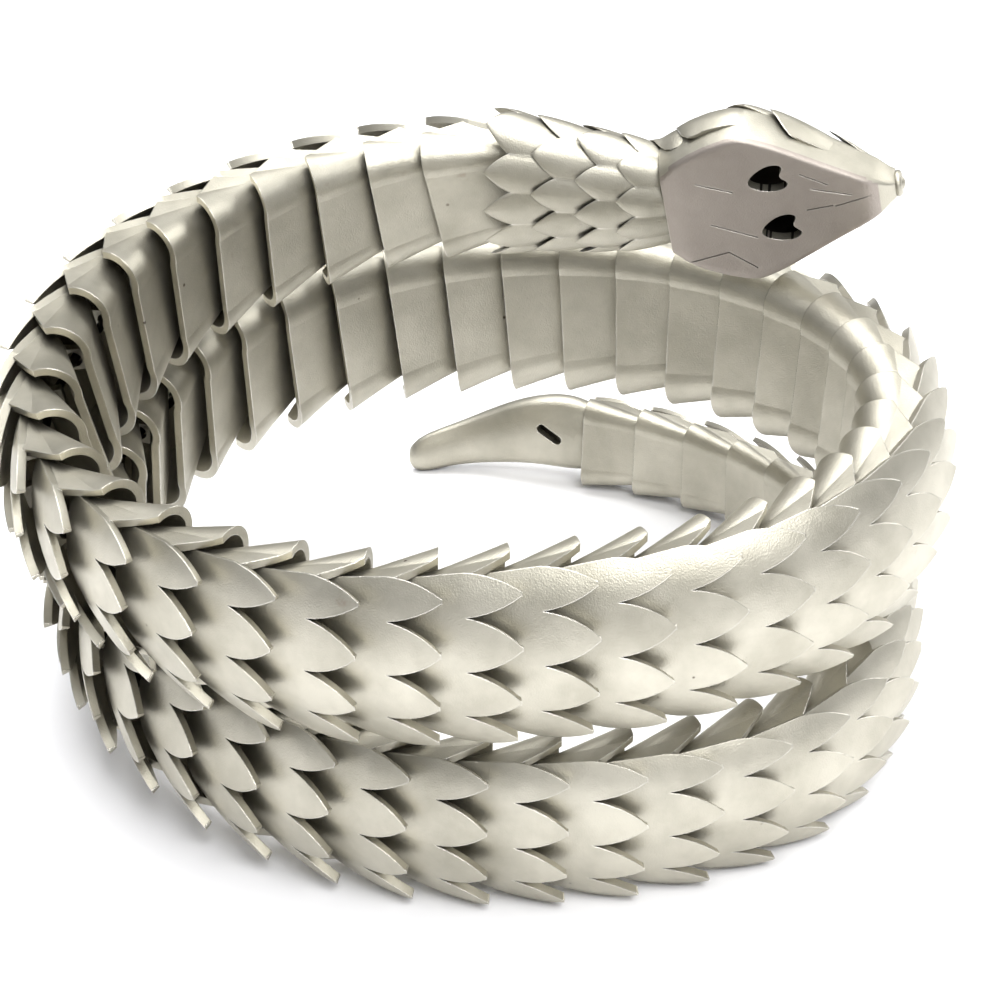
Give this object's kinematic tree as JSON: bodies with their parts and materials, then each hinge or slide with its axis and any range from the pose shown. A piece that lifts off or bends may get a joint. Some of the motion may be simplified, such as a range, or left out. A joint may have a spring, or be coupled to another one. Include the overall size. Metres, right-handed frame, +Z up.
{
  "type": "snake coil bracelet",
  "caption": "Articulated coil bracelet in the form of a snake, nested scale links from a hollow head to a plain tail cap.",
  "frame": {"origin": "middle of the underside of the bounding box, on the surface that the lowest coil lies on", "axes": "+Z up, the front of the coils toward -Y, the head at the back pointing to +X"},
  "size_m": [0.0844, 0.0852, 0.0492],
  "materials": {
    "cast_metal": "matte blasted",
    "wire": "drawn"
  },
  "bodies": {
    "root": {"head": "cast_metal", "upper_coil_links": "cast_metal", "lower_coil_links": "cast_metal", "tail_cap": "cast_metal", "core_wire": "wire"}
  },
  "joints": []
}
